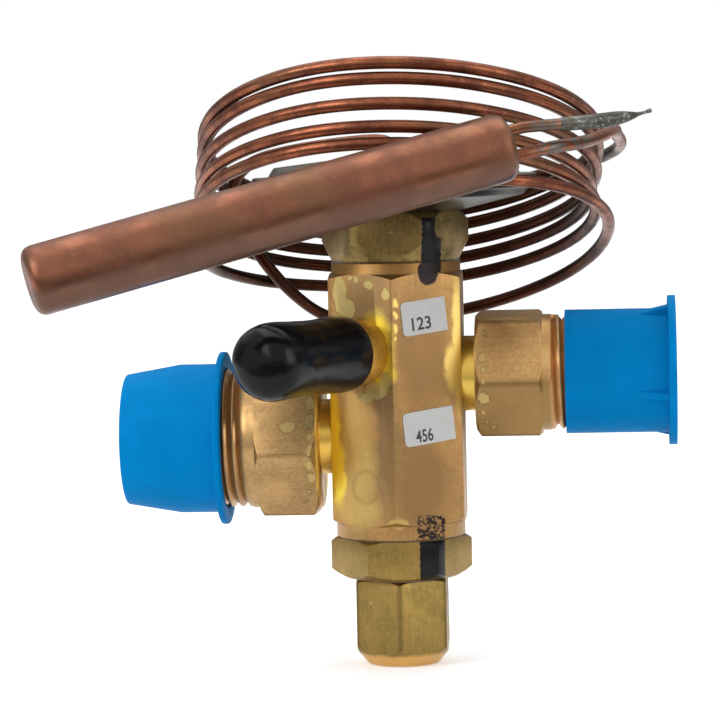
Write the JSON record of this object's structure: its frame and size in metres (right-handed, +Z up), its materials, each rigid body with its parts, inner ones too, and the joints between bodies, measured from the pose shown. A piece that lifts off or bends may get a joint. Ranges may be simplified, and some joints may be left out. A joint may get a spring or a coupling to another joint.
{
  "type": "thermostatic expansion valve",
  "caption": "Refrigerant expansion valve: hexagon brass body, capped flare ports, diaphragm head, coiled capillary and sensing bulb, adjusting stem under a seal cap.",
  "frame": {"origin": "centre of the flat end of the bottom seal cap, on the valve axis", "axes": "+Z up the valve axis to the diaphragm head, +X out of the inlet, -X out of the outlet, -Y towards the labels"},
  "size_m": [0.1165, 0.1095, 0.1173],
  "materials": {
    "brass": "satin, tarnished",
    "nut_brass": "satin, olive tarnish",
    "copper": "satin copper, browned",
    "tinned_copper": "dull tinned copper",
    "case_steel": "dull pressed steel",
    "hard_steel": "ground",
    "strainer_steel": "satin",
    "blue_plastic": "semi-gloss moulded polyethylene",
    "black_vinyl": "glossy dipped vinyl",
    "gasket": "matt",
    "packing": "matt",
    "label_paper": "satin"
  },
  "bodies": {
    "valve": {"seal_cap_gasket": "gasket", "bottom_nut": "brass", "body_gasket": "gasket", "stem_packing": "packing", "packing_nut": "brass", "superheat_spring": "hard_steel", "seat_insert": "hard_steel", "valve_body": "brass", "outlet_fitting": "brass", "inlet_fitting": "brass", "equalizer_fitting": "brass", "inlet_strainer": "strainer_steel", "element_nut": "nut_brass", "lower_case": "case_steel", "diaphragm": "hard_steel", "upper_case": "case_steel", "capillary_socket": "copper", "capillary_tube": "copper", "sensing_bulb": "copper", "charge_tube": "tinned_copper", "upper_label": "label_paper", "lower_label": "label_paper", "rod_seal_front": "packing", "rod_seal_rear": "packing"},
    "valve_train": {"buffer_plate": "brass", "push_rod_front": "hard_steel", "push_rod_rear": "hard_steel", "pin_carrier": "brass", "valve_pin": "hard_steel"},
    "stem": {"adjusting_stem": "brass"},
    "guide": {"spring_guide": "brass"},
    "bottom_cap": {"seal_cap": "brass"},
    "left_cap": {"outlet_cap": "blue_plastic"},
    "right_cap": {"inlet_cap": "blue_plastic"},
    "front_cap": {"equalizer_cap": "black_vinyl"}
  },
  "joints": [
    {"name": "valve_stroke", "type": "slide", "parent": "valve", "child": "valve_train", "axis": [0, 0, -1], "range_m": [0, 0.0012], "stiffness_N_per_m": 3000, "springref_m": -0.003, "deforming": ["superheat_spring"]},
    {"name": "stem_turn", "type": "hinge", "parent": "valve", "child": "stem", "pos_m": [0, 0, 0.02], "axis": [0, 0, 1], "range_deg": [-540, 540]},
    {"name": "guide_slide", "type": "slide", "parent": "valve", "child": "guide", "axis": [0, 0, 1], "range_m": [-0.0015, 0.0015]},
    {"name": "seal_cap_off", "type": "slide", "parent": "valve", "child": "bottom_cap", "axis": [0, 0, -1], "range_m": [0, 0.02]},
    {"name": "outlet_cap_off", "type": "slide", "parent": "valve", "child": "left_cap", "axis": [-1, 0, 0], "range_m": [0, 0.03]},
    {"name": "inlet_cap_off", "type": "slide", "parent": "valve", "child": "right_cap", "axis": [1, 0, 0], "range_m": [0, 0.03]},
    {"name": "equalizer_cap_off", "type": "slide", "parent": "valve", "child": "front_cap", "axis": [-0.5, -0.866, 0], "range_m": [0, 0.022]}
  ],
  "couplings": [
    {"joint": "stem_turn", "follows": "guide_slide", "rad_per_m": 6283.2}
  ]
}
